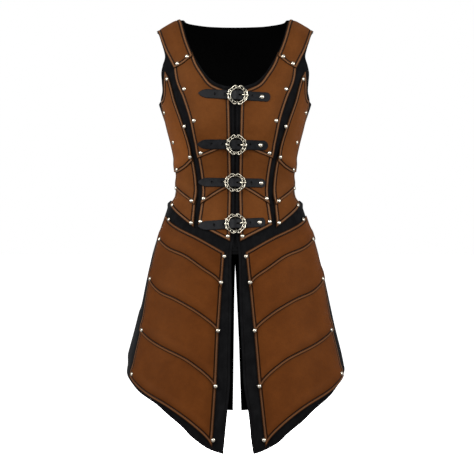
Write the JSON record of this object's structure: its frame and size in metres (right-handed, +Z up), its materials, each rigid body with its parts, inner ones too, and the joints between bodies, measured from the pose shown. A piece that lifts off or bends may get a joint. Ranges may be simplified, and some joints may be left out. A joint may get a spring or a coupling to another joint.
{
  "type": "leather armour vest",
  "caption": "Sleeveless fantasy armour vest: lapped brown leather plates riveted on a black cloth bodice and slit skirt, with ring-buckled straps.",
  "frame": {"origin": "middle of the wearer's shoulder line, level with the shoulders' highest stretch beside the neck opening", "axes": "+Z up, the front faces -Y, +X towards the wearer's left"},
  "size_m": [0.5258, 0.3652, 1.0322],
  "materials": {
    "cloth": "matt black napped cloth",
    "bodice_leather": "satin saddle-brown leather, greyish bevelled edge",
    "skirt_leather": "satin darker saddle-brown leather",
    "strap_leather": "semi-matt black leather",
    "metal": "antiqued silver cast metal"
  },
  "bodies": {
    "root": {"bodice_front_right": "cloth", "bodice_back_right": "cloth", "skirt_front_right": "cloth", "skirt_back_right": "cloth", "bodice_front_left": "cloth", "bodice_back_left": "cloth", "skirt_front_left": "cloth", "skirt_back_left": "cloth", "placket": "cloth", "shoulder_right": "bodice_leather", "shoulder_left": "bodice_leather", "centre_1_right": "bodice_leather", "centre_1_left": "bodice_leather", "centre_2_right": "bodice_leather", "centre_2_left": "bodice_leather", "centre_3_right": "bodice_leather", "centre_3_left": "bodice_leather", "side_1_right": "bodice_leather", "side_1_left": "bodice_leather", "side_2_right": "bodice_leather", "side_2_left": "bodice_leather", "side_3_right": "bodice_leather", "side_3_left": "bodice_leather", "tasset_1_right": "skirt_leather", "tasset_1_left": "skirt_leather", "tasset_2_right": "skirt_leather", "tasset_2_left": "skirt_leather", "tasset_3_right": "skirt_leather", "tasset_3_left": "skirt_leather", "tasset_4_right": "skirt_leather", "tasset_4_left": "skirt_leather", "tab_1": "strap_leather", "strap_1": "strap_leather", "buckle_1": "metal", "prong_1": "metal", "tab_2": "strap_leather", "strap_2": "strap_leather", "buckle_2": "metal", "prong_2": "metal", "tab_3": "strap_leather", "strap_3": "strap_leather", "buckle_3": "metal", "prong_3": "metal", "tab_4": "strap_leather", "strap_4": "strap_leather", "buckle_4": "metal", "prong_4": "metal"}
  },
  "joints": []
}
